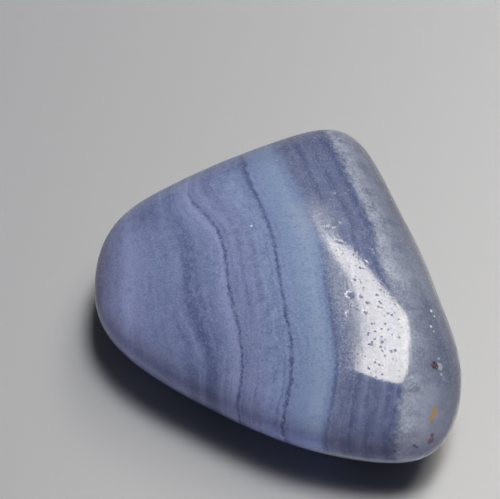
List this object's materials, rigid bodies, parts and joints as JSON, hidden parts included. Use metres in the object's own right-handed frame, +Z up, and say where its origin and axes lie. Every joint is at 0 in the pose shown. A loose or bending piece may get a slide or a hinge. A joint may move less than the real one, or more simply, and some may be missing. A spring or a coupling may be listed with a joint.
{
  "type": "tumbled blue chalcedony",
  "caption": "Tumbled and polished pebble of banded blue chalcedony: rounded three-cornered plan, domed above and below, resting on a small flat spot.",
  "frame": {"origin": "middle of the small flat spot that the stone rests on", "axes": "+Z up, out of the crown; the picture looks along +Y, with +X to its right"},
  "size_m": [0.0303, 0.0317, 0.0118],
  "materials": {
    "chalcedony": "tumbled and polished, translucent, banded pale blue, lavender, slate blue and smoky grey"
  },
  "bodies": {
    "root": {"chalcedony_pebble": "chalcedony"}
  },
  "joints": []
}
